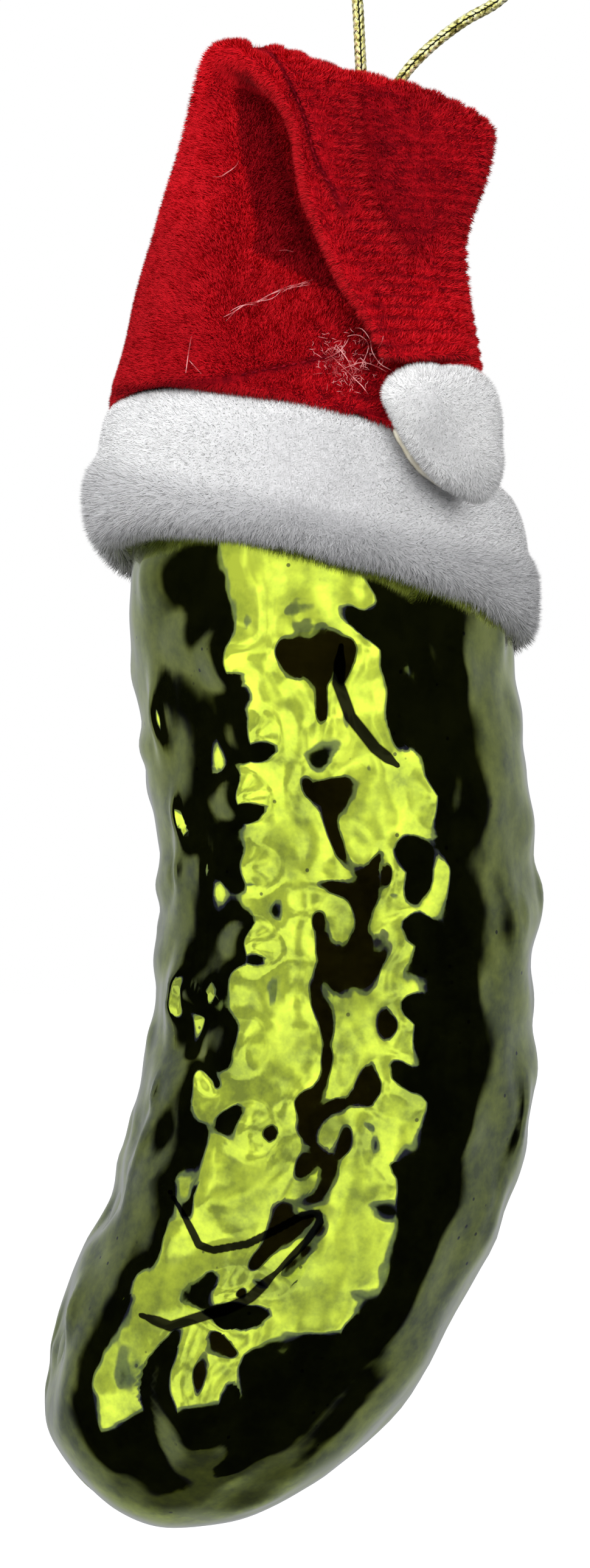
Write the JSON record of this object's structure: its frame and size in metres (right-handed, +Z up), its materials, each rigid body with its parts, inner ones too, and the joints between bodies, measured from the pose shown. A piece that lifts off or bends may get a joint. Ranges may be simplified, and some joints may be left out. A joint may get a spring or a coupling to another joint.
{
  "type": "pickle ornament",
  "caption": "Hanging ornament: a curved, warty, silvered green glass pickle in a folded red plush hat with a white brim and pompom, on a gold cord loop.",
  "frame": {"origin": "the point in the top of the cord's loop where a hook bears, on the underside of the cord", "axes": "+Z up along the hanging ornament, +X to the right as seen in the picture, +Y to the back, so the hat's flap and pompom face -Y"},
  "size_m": [0.0508, 0.0425, 0.1844],
  "materials": {
    "green_mirrored_glass": "blown glass, silvered inside and lacquered a transparent yellow green, very glossy",
    "gold_cap_metal": "thin stamped metal with a gold wash, glossy",
    "spring_wire": "bright drawn spring steel",
    "gold_cord": "braided metallic gold yarn",
    "red_plush": "short knitted pile, matt, with rows in the knit",
    "white_plush": "short soft pile, matt",
    "hot_glue": "clear, slightly yellow hot-melt glue"
  },
  "bodies": {
    "hanging_loop": {"cord_loop": "gold_cord"},
    "hanger": {"hanger_wire": "spring_wire", "cord_knot": "gold_cord"},
    "ornament": {"glass_pickle": "green_mirrored_glass", "neck_cap": "gold_cap_metal", "hat_crown": "red_plush", "hat_brim": "white_plush", "pompom": "white_plush", "brim_glue": "hot_glue", "pompom_glue": "hot_glue"}
  },
  "joints": [
    {"name": "swing", "type": "hinge", "parent": "hanging_loop", "child": "hanger", "pos_m": [-0.0036, 0.0014, -0.056], "axis": [1, 0, 0], "range_deg": [-60, 60], "deforming": ["cord_loop"]},
    {"name": "wire_pull", "type": "slide", "parent": "hanger", "child": "ornament", "axis": [0, 0, -1], "range_m": [0, 0.003]}
  ]
}
